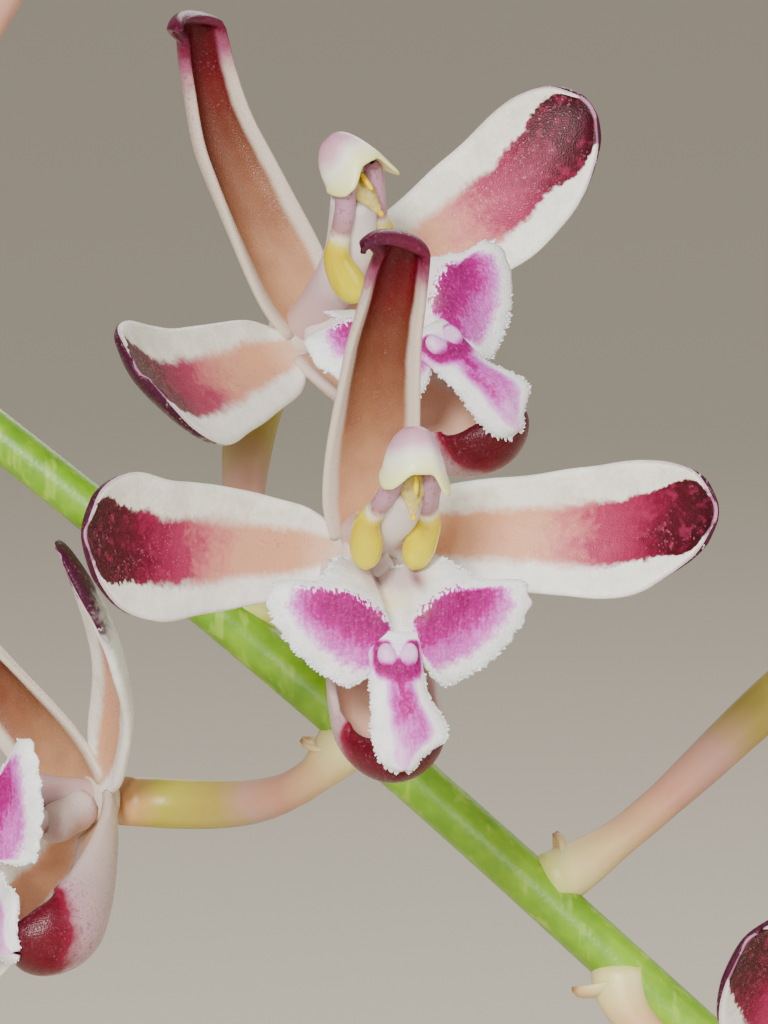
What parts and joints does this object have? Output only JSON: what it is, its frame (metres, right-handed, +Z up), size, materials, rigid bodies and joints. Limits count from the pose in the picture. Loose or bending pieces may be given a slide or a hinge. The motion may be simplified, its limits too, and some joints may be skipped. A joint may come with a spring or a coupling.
{
  "type": "potted orchid",
  "caption": "Small potted orchid with egg-shaped bulbs, strap leaves and an arching spike of maroon, white and magenta blooms in a plain clay pot.",
  "frame": {"origin": "middle of the pot's underside", "axes": "+Z up; the first bloom of the spike faces -Y and +X is to its viewer's right"},
  "size_m": [0.1894, 0.1506, 0.2734],
  "materials": {
    "clay": "unglazed terracotta",
    "bark": "rough bark chips",
    "root": "matt velvety",
    "bulb": "smooth satin",
    "leaf": "satin",
    "stem": "satin",
    "petal": "sparkling cell texture",
    "sepal": "satin",
    "lip": "velvety",
    "column": "waxy"
  },
  "bodies": {
    "root": {"bloom_01_column": "column", "bloom_01_dorsal_sepal": "sepal", "bloom_01_lateral_sepals": "sepal", "bloom_01_lip": "lip", "bloom_01_petal_left": "petal", "bloom_01_petal_right": "petal", "bloom_02_lip": "lip", "bloom_02_tepals": "petal", "bloom_03_lip": "lip", "bloom_03_tepals": "petal", "bloom_04_lip": "lip", "bloom_04_tepals": "petal", "bloom_05_lip": "lip", "bloom_05_tepals": "petal", "bloom_06_lip": "lip", "bloom_06_tepals": "petal", "bloom_07_lip": "lip", "bloom_07_tepals": "petal", "bloom_08_lip": "lip", "bloom_08_tepals": "petal", "bloom_09_lip": "lip", "bloom_09_tepals": "petal", "bloom_10_lip": "lip", "bloom_10_tepals": "petal", "bloom_11_lip": "lip", "bloom_11_tepals": "petal", "bloom_12_lip": "lip", "bloom_12_tepals": "petal", "bloom_13_lip": "lip", "bloom_13_tepals": "petal", "bloom_14_lip": "lip", "bloom_14_tepals": "petal", "flower_spike": "stem", "leaf_1": "leaf", "leaf_2": "leaf", "leaf_3": "leaf", "leaf_4": "leaf", "leaf_5": "leaf", "leaf_6": "leaf", "leaf_7": "leaf", "leaf_8": "leaf", "leaf_9": "leaf", "pot": "clay", "potting_mix": "bark", "pseudobulb_1": "bulb", "pseudobulb_2": "bulb", "pseudobulb_3": "bulb", "pseudobulb_4": "bulb", "pseudobulb_5": "bulb", "rhizome_roots": "root"}
  },
  "joints": []
}
